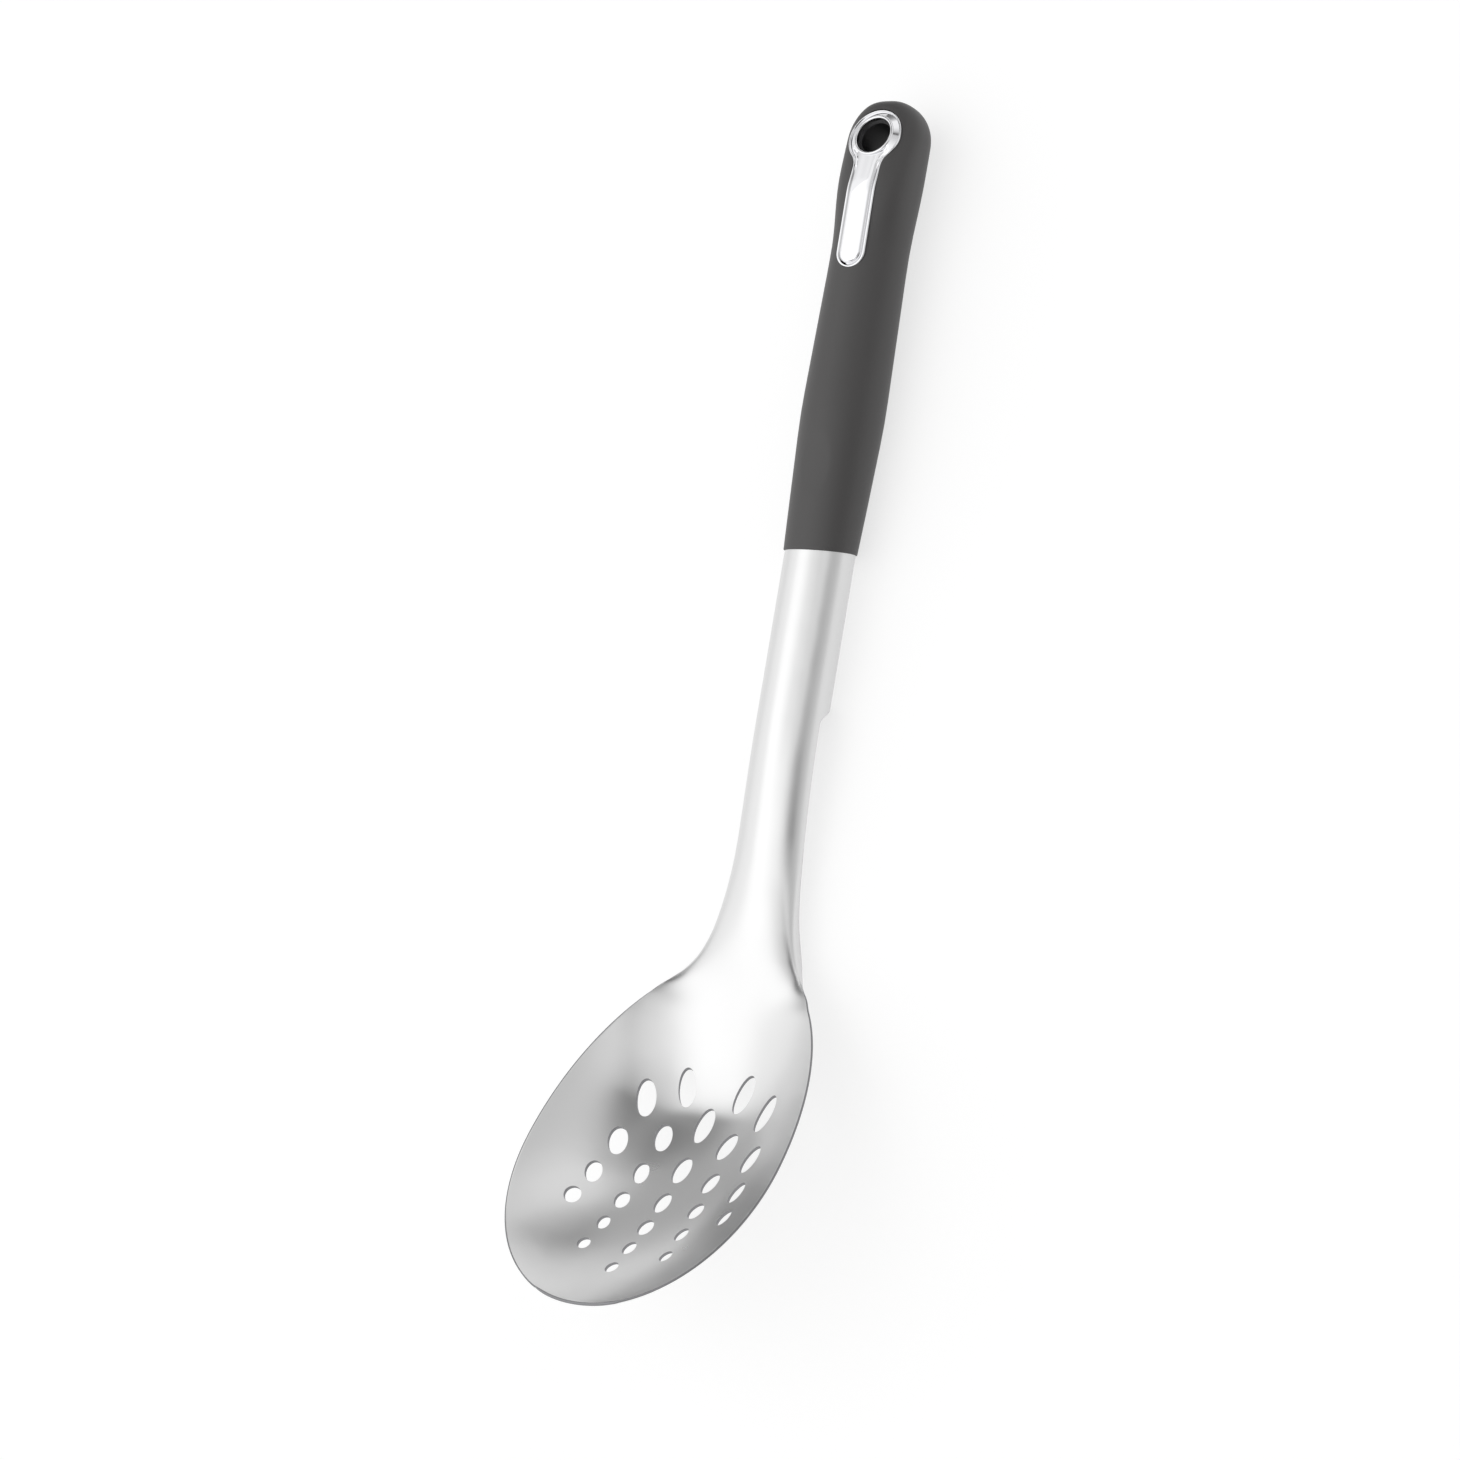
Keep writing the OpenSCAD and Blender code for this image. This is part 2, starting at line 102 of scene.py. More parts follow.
def lay_down(points):
    """Points in the frame of the bowl's rim, in mm, laid on the table in metres."""
    p = np.asarray(points, float)
    c, s = math.cos(lay_lean), math.sin(lay_lean)
    x, y, z = p[..., 0], p[..., 1] * c + p[..., 2] * s, p[..., 2] * c - p[..., 1] * s
    return np.stack([x + lay_shift[0], y + lay_shift[1], z + lay_shift[2]], -1) / mm_per_m


def spine(s):
    """Turn, y and z of the middle line at s: level over the bowl, bent up at the neck, then straight."""
    turn = np.clip((s - neck_at) / neck_r, 0, neck_rise)
    past = np.maximum(0, s - neck_at - neck_r * neck_rise)
    y = np.minimum(s, neck_at) + neck_r * np.sin(turn) + past * math.cos(neck_rise)
    z = neck_r * (1 - np.cos(turn)) + past * math.sin(neck_rise)
    return turn, y, z


def on_spine(s, x, n):
    """A point of the section at s: x across, n square to the middle line."""
    turn, y, z = spine(s)
    return np.stack(np.broadcast_arrays(x, y - n * np.sin(turn), z + n * np.cos(turn)), -1)


def oval_half(y):
    """Half width of the bowl's oval, which is a little squarer towards its tip."""
    long = np.where(y < 0, bowl_tip_len, bowl_neck_len)
    power = np.where(y < 0, bowl_tip_power, bowl_neck_power)
    return half_w * np.maximum(1e-9, 1 - np.abs(y / long) ** power) ** (1 / power)


def stem_rise_share(s):
    return ease((s - turn_end) / (tube_s - wrap_run - turn_end))


def neck_half(s):
    swell = swell_half * np.exp(-(s - swell_at) / swell_run)
    return stem_half + neck_spare * (1 - stem_rise_share(s)) + swell


def sheet_half(s):
    blend = ease((s - shoulder_start) / (shoulder_end - shoulder_start))
    return mix(oval_half(s), neck_half(np.maximum(s, shoulder_start)), blend)


def middle_line(s):
    """Height of the middle of the sheet: the stem's line runs straight on into the hollow of the bowl."""
    turn, y, z = spine(s)
    stem_foot = neck_arch_h - neck_r * (1 - math.cos(neck_rise))
    over_spine = stem_foot + (y - neck_at) * math.sin(neck_rise) - z * math.cos(neck_rise)
    line = over_spine / np.cos(neck_rise - turn)
    run = np.where(s < bowl_deep_at, bowl_deep_at + bowl_tip_len, bowl_neck_len - bowl_deep_at)
    bowl = -bowl_depth * (1 - np.minimum(1, np.abs(s - bowl_deep_at) / run) ** floor_power)
    blend = np.maximum(0, floor_blend - np.abs(line - bowl)) ** 2 / (4 * floor_blend)
    return np.maximum(line, bowl) + blend


def arch(s, q):
    """Across and height of the stem's section: an arch whose edges wrap under to close the tube."""
    swage = swage_in * ease((s - collar_s - swage_from) / swage_run)
    half, deep = sheet_half(s) - swage, tube_half_d - swage
    open_half = math.acos(stem_lip / tube_half_d)
    closed_half = math.pi - math.asin(seam_half / (stem_half - swage_in))
    low = mix(neck_lip, stem_lip, stem_rise_share(s)) - dip_depth * np.exp(-(((s - neck_at) / dip_run) ** 2))
    high = middle_line(s) + (tube_half_d - neck_arch_h) * stem_rise_share(s)
    wrap = mix(open_half, closed_half, ease((s - tube_s + wrap_run) / wrap_run))
    is_open = s < tube_s - wrap_run
    turn = np.where(is_open, open_half, wrap) * q
    share = np.abs(np.sin(turn)) / math.sin(open_half)
    flat_top = np.maximum(0, 1 - np.minimum(1, share) ** neck_top_power) ** (1 / neck_top_power)
    pressed = mix(1 - share**2, flat_top, neck_top_share)
    rolled = (np.cos(turn) - math.cos(open_half)) / (1 - math.cos(open_half))
    crown = mix(pressed, rolled, ease((s - neck_at) / neck_top_run))
    return half * np.sin(turn), np.where(is_open, mix(low, high, crown), deep * np.cos(turn))


def sheet_top(s, q, sag):
    """The upper skin of the sheet at station s and share q across, from -1 to 1."""
    y = s - sag * (1 - q * q)
    half = sheet_half(s)
    across = np.minimum(1, np.abs(half * q) / np.where(s < shoulder_start, oval_half(y), half))
    bowl_z = middle_line(y) * (1 - across**wall_power)
    arch_x, arch_z = arch(s, q)
    turned = ease((s - turn_start) / (turn_end - turn_start))
    p = on_spine(s, mix(half * q, arch_x, turned), mix(bowl_z, arch_z, turned))
    p[..., 1] -= sag * (1 - q * q)
    return p


# Rows across the sheet. The first is a bow round the tip, and its ends stand at a share of the half width
tip_rows = 56
tip_row_share = 0.32
bowl_step = 0.8
tube_step = 2.5
fine_step = 0.25
tang_rows = 12
points_across = 133
swage_spare = 0.4
swage_over = collar_s + swage_from + swage_run + swage_spare
tip_angle = math.asin(tip_row_share)
along_tip = np.arange(tip_rows) / tip_rows
stations = np.concatenate([
    -bowl_tip_len * np.cos(mix(tip_angle, math.pi / 2, along_tip)),
    np.arange(0, tube_s - wrap_run, bowl_step),
    np.arange(tube_s - wrap_run, tube_s + 1, fine_step),
    np.arange(tube_s + 1, collar_s, tube_step),
    np.arange(collar_s, swage_over, fine_step),
    np.linspace(swage_over, tang_s, tang_rows),
])
sags = np.zeros(len(stations))
sags[:tip_rows] = bowl_tip_len * (1 - math.cos(tip_angle)) * (1 - along_tip) ** 2
every_s, every_q = np.meshgrid(stations, np.linspace(-1, 1, points_across), indexing="ij")
top = sheet_top(every_s, every_q, sags[:, None])
normals = np.cross(np.gradient(top, axis=1), np.gradient(top, axis=0))
normals[0, :], normals[-1, :] = normals[1, :], normals[-2, :]
normals[:, 0], normals[:, -1] = normals[:, 1], normals[:, -2]
normals /= np.linalg.norm(normals, axis=-1, keepdims=True)
thick = sheet_t * mix(1.0, rim_thin_share, every_q**rim_thin_power)
under = top - thick[..., None] * normals


def rim_loop(rows, cols):
    """Grid indices round the edge of the sheet, once round."""
    return (
        [(0, j) for j in range(cols)]
        + [(i, cols - 1) for i in range(1, rows)]
        + [(rows - 1, j) for j in range(cols - 2, -1, -1)]
        + [(i, 0) for i in range(rows - 2, 0, -1)]
    )


def sheet_mesh(name, top, under, normals, thick, round_steps=5):
    """A closed sheet: upper skin, lower skin, and a half-round edge between them."""
    rows, cols = top.shape[:2]
    loop = rim_loop(rows, cols)
    ii, jj = np.array(loop).T
    edge, n, t = top[ii, jj], normals[ii, jj], thick[ii, jj][:, None] / 2
    inner = top[np.clip(ii, 1, rows - 2), np.clip(jj, 1, cols - 2)]
    tangent = np.roll(edge, -1, 0) - np.roll(edge, 1, 0)
    out = np.cross(tangent, n)
    out /= np.linalg.norm(out, axis=1, keepdims=True)
    out *= np.sign(np.sum(out * (edge - inner), axis=1, keepdims=True))
    top[ii, jj] -= out * rim_inset
    under[ii, jj] -= out * rim_inset
    middle = top[ii, jj] - n * t
    arcs = [
        middle + t * (n * math.cos(a) + out * math.sin(a) * rim_bulge_share)
        for a in np.linspace(0, math.pi, round_steps + 1)[1:-1]
    ]
    verts = np.concatenate([top.reshape(-1, 3), under.reshape(-1, 3), *arcs])
    count = rows * cols
    grid = np.arange(count).reshape(rows, cols)
    a, b, c, d = grid[:-1, :-1], grid[1:, :-1], grid[1:, 1:], grid[:-1, 1:]
    faces = np.stack([a, d, c, b], -1).reshape(-1, 4).tolist()
    faces += (np.stack([a, b, c, d], -1).reshape(-1, 4) + count).tolist()
    skin_faces = len(faces)
    ring = grid[ii, jj]
    between = [2 * count + k * len(loop) + np.arange(len(loop)) for k in range(len(arcs))]
    rings = [ring, *between, ring + count]
    for one, two in zip(rings[:-1], rings[1:]):
        faces += np.stack([one, two, np.roll(two, -1), np.roll(one, -1)], -1).tolist()
    mesh = bpy.data.meshes.new(name)
    mesh.from_pydata(lay_down(verts).tolist(), [], faces)
    # Two empty slots: 0 for the polished faces, and 1 for the ground edge and the punched walls, whose finish
    # carries painted shade
    mesh.materials.append(None)
    mesh.materials.append(None)
    mesh.polygons.foreach_set("material_index", [int(i >= skin_faces) for i in range(len(faces))])
    return mesh


def new_piece(name, mesh):
    piece = bpy.data.objects.new(name, mesh)
    bpy.context.scene.collection.objects.link(piece)
    return piece


def prism(outline, place, *levels):
    """A punch: a closed outline in mm at rising heights, each with its own scale, placed by a function."""
    k = len(outline)
    layers = [np.column_stack([outline * grow, np.full(k, height)]) for height, grow in levels]
    points = np.concatenate(layers)
    faces = [list(range(k))[::-1], list(range(len(points) - k, len(points)))]
    for start in range(0, len(points) - k, k):
        faces += [[start + i, start + (i + 1) % k, start + k + (i + 1) % k, start + k + i] for i in range(k)]
    return place(points), faces


def cut_away(piece, *punches):
    """Cuts punches that don't touch each other out of the piece. The cut walls take its last finish."""
    verts, faces = [], []
    for points, sides in punches:
        faces += [[i + len(verts) for i in side] for side in sides]
        verts += lay_down(points).tolist()
    mesh = bpy.data.meshes.new("punch")
    mesh.from_pydata(verts, [], faces)
    finishes = len(piece.data.materials)
    for _ in range(finishes):
        mesh.materials.append(None)
    if finishes:
        mesh.polygons.foreach_set("material_index", [finishes - 1] * len(faces))
    cutter = new_piece("punch", mesh)
    step = piece.modifiers.new("cut", "BOOLEAN")
    step.object, step.operation, step.solver = cutter, "DIFFERENCE", "MANIFOLD"
    bpy.context.view_layer.update()
    cut = bpy.data.meshes.new_from_object(piece.evaluated_get(bpy.context.evaluated_depsgraph_get()))
    piece.modifiers.clear()
    piece.data = cut
    bpy.data.objects.remove(cutter)


def shade(piece, sharp_deg=35):
    """Smooth shading, apart from edges that are sharper than the angle."""
    for polygon in piece.data.polygons:
        polygon.use_smooth = True
    piece.data.set_sharp_from_angle(angle=math.radians(sharp_deg))


def outward(piece, reach=2e-6):
    """Joins points that meet, and turns the faces of a closed piece outwards."""
    bm = bmesh.new()
    bm.from_mesh(piece.data)
    bmesh.ops.remove_doubles(bm, verts=bm.verts, dist=reach)
    bmesh.ops.recalc_face_normals(bm, faces=bm.faces)
    bm.to_mesh(piece.data)
    bm.free()


blade = new_piece("spoon_blade_steel", sheet_mesh("spoon_blade_steel", top, under, normals, thick))
outward(blade)

# Slots: five columns that fan out from an apex on the stem, with smaller slots towards the tip
fan_apex = 148.0
fan_step = 4.25
slot_lean = 15.0
slot_w = 5.0
slot_len = 10.0
slot_len_shares = (1, 0.8, 0.64, 0.52, 0.45, 0.39)
slot_w_shares = (1, 0.96, 0.82, 0.8, 0.65, 0.64)
slot_place_shares = (0, 0.285, 0.507, 0.685, 0.843, 1)
# Columns: steps out from the middle, first slot's place, length, and number of slots
slot_columns = [(0, 17.8, 49.0, 6), (1, 26.9, 52.3, 6), (2, 20.4, 49.0, 4)]
punch_grow = 1.04
overrun = 1.0
round_angles = np.linspace(0, 2 * math.pi, 57)[:-1]
slots = []
for step, first, length, count in slot_columns:
    for side in (-1, 1) if step else (1,):
        for k in range(count):
            fan = math.radians(side * step * fan_step)
            out = fan_apex - first + length * slot_place_shares[k]
            at = (out * math.sin(fan), fan_apex - out * math.cos(fan))
            lean = math.radians(-(side if step else 0) * slot_lean)
            wide, long = slot_w / 2 * slot_w_shares[k], slot_len / 2 * slot_len_shares[k]
            ring = np.column_stack([wide * np.cos(round_angles), long * np.sin(round_angles)])

            def on_bowl(p, at=at, lean=lean):
                c, s = math.cos(lean), math.sin(lean)
                x, y = p[:, 0] * c - p[:, 1] * s, p[:, 0] * s + p[:, 1] * c
                return np.column_stack([at[0] + x, at[1] + y, p[:, 2]])

            slots.append(prism(ring, on_bowl, (-bowl_depth - 2 * overrun, punch_grow), (overrun, 1)))
cut_away(blade, *slots)
shade(blade)


def linear(hex_colour):
    """An sRGB hex colour as linear red, green, blue and alpha."""
    parts = [int(hex_colour[i : i + 2], 16) / 255 for i in (1, 3, 5)]
    return tuple(c / 12.92 if c <= 0.04045 else ((c + 0.055) / 1.055) ** 2.4 for c in parts) + (1.0,)


def new_material(name):
    material = bpy.data.materials.new(name)
    material.use_nodes = True
    material.node_tree.nodes.clear()
    return material


def add_node(tree, kind, settings=None, links=None):
    """Adds one node. Settings are its properties, or values of its sockets by name or number.

    Links are other nodes' outputs, by the name or number of the socket that each goes to.
    """
    node = tree.nodes.new(kind)
    for key, value in (settings or {}).items():
        if isinstance(key, str) and hasattr(node, key):
            setattr(node, key, value)
        else:
            node.inputs[key].default_value = value
    for socket, source in (links or {}).items():
        tree.links.new(source, node.inputs[socket])
    return node


# Satin stainless steel, 18/10, polished with a fine belt along the spoon: soft reflections, a little uneven
# where the pressing still shows, with a faint grain. The belt's own lines are too fine to show, so they are
# drawn as coarse as the render can hold.
grain_w = 0.45
grain_len = 8.3
pressing_wave = 22.2
satin_steel = new_material("satin_stainless_steel")
tree = satin_steel.node_tree
place = add_node(tree, "ShaderNodeTexCoord")
grain_way = add_node(
    tree,
    "ShaderNodeMapping",
    {"Scale": (mm_per_m / grain_w, mm_per_m / grain_len, mm_per_m / grain_w)},
    {"Vector": place.outputs["Object"]},
)
grain = add_node(
    tree, "ShaderNodeTexNoise", {"Scale": 1.0, "Detail": 3.0}, {"Vector": grain_way.outputs["Vector"]}
)
cloud = add_node(
    tree,
    "ShaderNodeTexNoise",
    {"Scale": mm_per_m / pressing_wave, "Detail": 2.0},
    {"Vector": place.outputs["Object"]},
)
rough = add_node(
    tree, "ShaderNodeMapRange", {"To Min": 0.25, "To Max": 0.33}, {"Value": cloud.outputs["Fac"]}
)
wave = add_node(
    tree, "ShaderNodeBump", {"Strength": 0.5, "Distance": 0.0004}, {"Height": cloud.outputs["Fac"]}
)
bump = add_node(
    tree,
    "ShaderNodeBump",
    {"Strength": 0.04, "Distance": 0.0001},
    {"Height": grain.outputs["Fac"], "Normal": wave.outputs["Normal"]},
)
steel = add_node(
    tree,
    "ShaderNodeBsdfPrincipled",
    {"Base Color": linear("#dcdcdc"), "Metallic": 1.0},
    {"Roughness": rough.outputs["Result"], "Normal": bump.outputs["Normal"]},
)
add_node(tree, "ShaderNodeOutputMaterial", links={"Surface": steel.outputs["BSDF"]})

# The ground edge and the punched walls of the same steel: duller than the polished faces, and given a darker
# colour that is painted shade, so they draw the outline of the rim and of each slot as a dark line. The
# scratches of the wheel are drawn coarser than they are.
scratch_w = 0.67
ground_edge_painted_shade = new_material("ground_stainless_edge_painted_shade")
tree = ground_edge_painted_shade.node_tree
place = add_node(tree, "ShaderNodeTexCoord")
scratch = add_node(
    tree,
    "ShaderNodeTexNoise",
    {"Scale": mm_per_m / scratch_w, "Detail": 2.0},
    {"Vector": place.outputs["Object"]},
)
rough = add_node(
    tree, "ShaderNodeMapRange", {"To Min": 0.35, "To Max": 0.5}, {"Value": scratch.outputs["Fac"]}
)
# Its colour, darker than the polished steel, is painted shade along the rim and the slot walls; only the
# higher roughness is the ground finish.
edge_steel_painted_shade = add_node(
    tree,
    "ShaderNodeBsdfPrincipled",
    {"Base Color": linear("#8e8e90"), "Metallic": 1.0},
    {"Roughness": rough.outputs["Result"]},
)
add_node(tree, "ShaderNodeOutputMaterial", links={"Surface": edge_steel_painted_shade.outputs["BSDF"]})
blade.data.materials[0] = satin_steel
blade.data.materials[1] = ground_edge_painted_shade
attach(blade, "root")
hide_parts("spoon_blade")

# Handle core: black polypropylene, moulded, plugged into the steel tube. It shows only as the wall of the
# hole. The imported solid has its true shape, so it stays and gets its finish.
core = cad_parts["handle_core"]

# Black polypropylene as it leaves the mould: a plain dark wall with a weak, wide sheen over a fine eroded
# texture, which is drawn as coarse as it needs to show.
mould_texture = 0.4
moulded_black = new_material("moulded_black_polypropylene")
tree = moulded_black.node_tree
place = add_node(tree, "ShaderNodeTexCoord")
skin = add_node(
    tree,
    "ShaderNodeTexNoise",
    {"Scale": mm_per_m / mould_texture, "Detail": 2.0},
    {"Vector": place.outputs["Object"]},
)
bump = add_node(
    tree, "ShaderNodeBump", {"Strength": 0.1, "Distance": 0.0001}, {"Height": skin.outputs["Fac"]}
)
black = add_node(
    tree,
    "ShaderNodeBsdfPrincipled",
    {"Base Color": linear("#121214"), "Roughness": 0.45},
    {"Normal": bump.outputs["Normal"]},
)
add_node(tree, "ShaderNodeOutputMaterial", links={"Surface": black.outputs["BSDF"]})
core.data.materials.clear()
core.data.materials.append(moulded_black)
shade(core)

# Grip sleeve: soft grey thermoplastic rubber moulded over the core and the end of the tube.
# It stands a little proud of the steel, swells to a belly, and ends in a round head with a sloping face.
grip_len = 125.9
belly_u = 37.7
waist_u = 84.1
head_u = 105.1
far_u = 250.0
back_h = 10.0
head_r = 11.5
half_table = np.array([[-belly_u, 9.1], [belly_u, 11.7], [waist_u, 10.8], [head_u, head_r], [far_u, head_r]])
depth_table = np.array([[-belly_u, 6.3], [belly_u, 10.5], [waist_u, 9.4], [head_u, back_h], [far_u, back_h]])
head_power = 2.15
cap_u = grip_len - head_r
eye_u = grip_len - 11.6
face_h = 7.5
face_blend = 0.7
eye_tilt = math.radians(10)
oval_power = 2.0
head_back_power = 2.2
head_front_power = 2.7
thumb_u = 23.1
thumb_len = 17.0
thumb_w = 9.0
thumb_depth = 0.35
collar_lean = 0.12
collar_top = 8.4
collar_run = 14.0


def soft_lookup(u, table, soften=6.0):
    """A table's value at u, with its corners rounded over the length soften to each side."""
    x, y = table.T
    return (np.interp(u - soften, x, y) + 2 * np.interp(u, x, y) + np.interp(u + soften, x, y)) / 4


def soft_min(a, b, k):
    return -k * np.log(np.exp(-a / k) + np.exp(-b / k))


def grip_section(u, f, inset=0.0):
    """Points round the grip at u from its front edge, at angles f."""
    cap = np.maximum(0, 1 - (np.maximum(0, u - cap_u) / head_r) ** head_power) ** (1 / head_power)
    half = soft_lookup(u, half_table) * cap - inset
    back = soft_lookup(u, depth_table) * cap - inset
    face = face_h - (u - eye_u) * math.tan(eye_tilt)
    front = soft_min(soft_lookup(u, depth_table) * cap, face, face_blend) - inset
    near_head = ease((u - waist_u) / (head_u - waist_u))
    x = half * np.cos(f)
    behind = np.sin(f) < 0
    power = mix(oval_power, np.where(behind, head_back_power, head_front_power), near_head)
    rise = np.maximum(0, 1 - np.abs(np.cos(f)) ** power) ** (1 / power)
    thumb = np.maximum(0, 1 - ((u - thumb_u) / thumb_len * 2) ** 2 - (x / thumb_w * 2) ** 2)
    n = np.where(behind, -back * rise, front * rise - thumb_depth * thumb)
    lean = collar_lean * (collar_top - n) * np.maximum(0, 1 - u / collar_run)
    return on_spine(collar_s + u + lean, x, n)


# Rows round the grip: a rounded mouth, even rows, and closer ones over the head
edge_round = 0.3
row_step = 1.0
mouth_turns = np.linspace(0, math.pi / 2, 5)
head_turns = np.radians(np.linspace(0, 88.5, 34))
around = np.linspace(0, 2 * math.pi, 145)[:-1]
rows = [(edge_round * (1 - math.cos(a)), edge_round * (1 - math.sin(a))) for a in mouth_turns]
rows += [(u, 0.0) for u in np.arange(row_step, cap_u, row_step)]
rows += [(cap_u + head_r * math.sin(a), 0.0) for a in head_turns]
k = len(around)
skin_points = np.array([grip_section(np.full(k, u), around, inset) for u, inset in rows])
faces = [list(range(k))[::-1], list(range((len(rows) - 1) * k, len(rows) * k))]
for i in range(len(rows) - 1):
    for j in range(k):
        faces.append([i * k + j, i * k + (j + 1) % k, (i + 1) * k + (j + 1) % k, (i + 1) * k + j])
mesh = bpy.data.meshes.new("grip_sleeve_rubber")
mesh.from_pydata(lay_down(skin_points.reshape(-1, 3)).tolist(), [], faces)
grip = new_piece("grip_sleeve_rubber", mesh)
outward(grip)


def along_handle(p):
    """Outline x and y across, height along the handle from the grip's front edge."""
    return on_spine(collar_s + p[:, 2], -p[:, 0], p[:, 1])


def on_eye(p):
    """x across, y along the sloping face from the middle of the ring, z out of the face."""
    c, s = math.cos(eye_tilt), math.sin(eye_tilt)
    y = eye_u + p[:, 1] * c + p[:, 2] * s
    z = face_h + p[:, 2] * c - p[:, 1] * s
    return on_spine(collar_s + y, p[:, 0], z)


def disc(rx, ry=None, steps=96):
    a = np.linspace(0, 2 * math.pi, steps + 1)[:-1]
    return np.column_stack([rx * np.cos(a), (ry or rx) * np.sin(a)])


# Pockets of the grip, each as large as what sits in it and its gap
eye_r = 4.6
ring_r = 8.0
seat_d = 1.6
post_wall = 2.4
post_r = eye_r + post_wall
post_short = 2.2
post_len = (face_h + back_h) / math.cos(eye_tilt) - post_short
tongue_half = 4.4
tongue_end = -37.5
tongue_seat_d = 1.95
root_len = 15.0
fillet_r = 5.0
fold = eye_tilt + math.radians(0.5)
fit_gap = 0.1
steel_gap = 0.08
tongue_gap = 0.05
ring_gap = 0.07
seat_gap = 0.05
clear_above = 6.0
core_end_share = 0.7
core_end = eye_u - post_r * core_end_share + fit_gap
hole_r = eye_r + 0.5
flare_grow = 1.31
flare_from = 1.4
flare_to = 3.0
hole_reach = 14.0
root_y = -math.sqrt((ring_r + fillet_r) ** 2 - (tongue_half + fillet_r) ** 2)
toe = math.atan2(-root_y, tongue_half + fillet_r)
end_steps, side_steps, fillet_steps, ring_steps = 20, 40, 20, 72
toe_at = end_steps + side_steps + fillet_steps


def inlay_outline(gap=0.0):
    """Right half of the developed outline, from the tongue's end to the ring's top, grown by a gap."""
    half, f, r = tongue_half + gap, fillet_r - gap, ring_r + gap
    end_y = tongue_end + tongue_half
    bow_x = tongue_half + fillet_r
    end_turns = np.linspace(0, math.pi / 2, end_steps + 1)
    bow_turns = np.linspace(0, toe, fillet_steps + 1)[1:]
    ring_turns = np.linspace(-toe, math.pi / 2, ring_steps + 1)[1:]
    end = [(half * math.sin(a), end_y - half * math.cos(a)) for a in end_turns]
    side = [(half, y) for y in np.linspace(end_y, root_y, side_steps + 1)[1:]]
    bow = [(bow_x - f * math.cos(a), root_y + f * math.sin(a)) for a in bow_turns]
    ring = [(r * math.cos(a), r * math.sin(a)) for a in ring_turns]
    return np.array(end + side + bow + ring)


def whole(right):
    return np.concatenate([right, right[1:-1][::-1] * (-1, 1)])


def on_tongue(p):
    """Developed plan past the fold: x across, y along the tongue, z out of it."""
    c, s = math.cos(fold), math.sin(fold)
    y = p[:, 1] + root_len
    return on_eye(np.column_stack([p[:, 0], y * c - p[:, 2] * s - root_len, y * s + p[:, 2] * c]))


tongue_pocket = whole(inlay_outline(tongue_gap))
tongue_pocket = tongue_pocket[tongue_pocket[:, 1] < overrun - root_len]
ring_pocket = whole(inlay_outline(ring_gap))
ring_pocket = ring_pocket[ring_pocket[:, 1] > -root_len]
tube_mouth = disc(stem_half + steel_gap, tube_half_d + steel_gap)
tang_bore = disc(stem_half - swage_in + fit_gap, tube_half_d - swage_in + fit_gap)
cut_away(grip, prism(tube_mouth, along_handle, (-overrun, 1), (swage_from + swage_run + fit_gap, 1)))
cut_away(grip, prism(tang_bore, along_handle, (overrun, 1), (core_end, 1)))
cut_away(grip, prism(tongue_pocket, on_tongue, (-tongue_seat_d, 1), (clear_above / 2, 1)))
cut_away(grip, prism(ring_pocket, on_eye, (-seat_d - seat_gap, 1), (clear_above, 1)))
cut_away(grip, prism(disc(post_r + fit_gap), on_eye, (-post_len - fit_gap, 1), (fit_gap - seat_d, 1)))
hole_levels = [
    (-post_len - hole_reach, flare_grow),
    (-post_len - flare_to, flare_grow),
    (-post_len - flare_from, 1),
    (-post_len + overrun, 1),
]
cut_away(grip, prism(disc(hole_r), on_eye, *hole_levels))
shade(grip, 38)

# Soft-touch rubber, moulded with a fine matt texture: an even dark grey with wide, faint highlights.
# The texture is drawn a little coarser than it is.
rubber_texture = 0.33
soft_rubber = new_material("soft_touch_rubber")
tree = soft_rubber.node_tree
place = add_node(tree, "ShaderNodeTexCoord")
fine = add_node(
    tree,
    "ShaderNodeTexNoise",
    {"Scale": mm_per_m / rubber_texture, "Detail": 3.0},
    {"Vector": place.outputs["Object"]},
)
bump = add_node(
    tree, "ShaderNodeBump", {"Strength": 0.12, "Distance": 0.0001}, {"Height": fine.outputs["Fac"]}
)
rubber = add_node(
    tree,
    "ShaderNodeBsdfPrincipled",
    {"Base Color": linear("#312f2f"), "Roughness": 0.52, "Specular IOR Level": 0.9},
    {"Normal": bump.outputs["Normal"]},
)
add_node(tree, "ShaderNodeOutputMaterial", links={"Surface": rubber.outputs["BSDF"]})
grip.data.materials.clear()
grip.data.materials.append(soft_rubber)
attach(grip, "root")
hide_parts("grip_sleeve")

# Hanging inlay: ABS plated bright with chromium, one moulding: a ring with a rolled lip, and a crowned
# tongue. It is pressed into a pocket of the grip. Its edges are rounded, so they catch thin lines of light.
lip_at = 5.53
lip_r = 0.43
lip_foot = 0.1
lip_clear = 0.05
bore_r = lip_at - lip_r
fold_r = 20.0
band = 1.65
rim_r = 0.25
ring_rim_drop = 0.3
tongue_rim_drop = 0.45
tongue_from = 5.0
tongue_run = 6.0
cone_h = 0.85
cone_from = 0.6
cone_run = 1.35
groove_d = 0.32
groove_from = 0.3
groove_run = 0.3
valley_d = 0.3
valley_run = 1.0
crown_r = 18.0
plateau_from = 1.25
plateau_run = 0.34
plateau_turn = 1.05
plateau_turn_run = 0.35


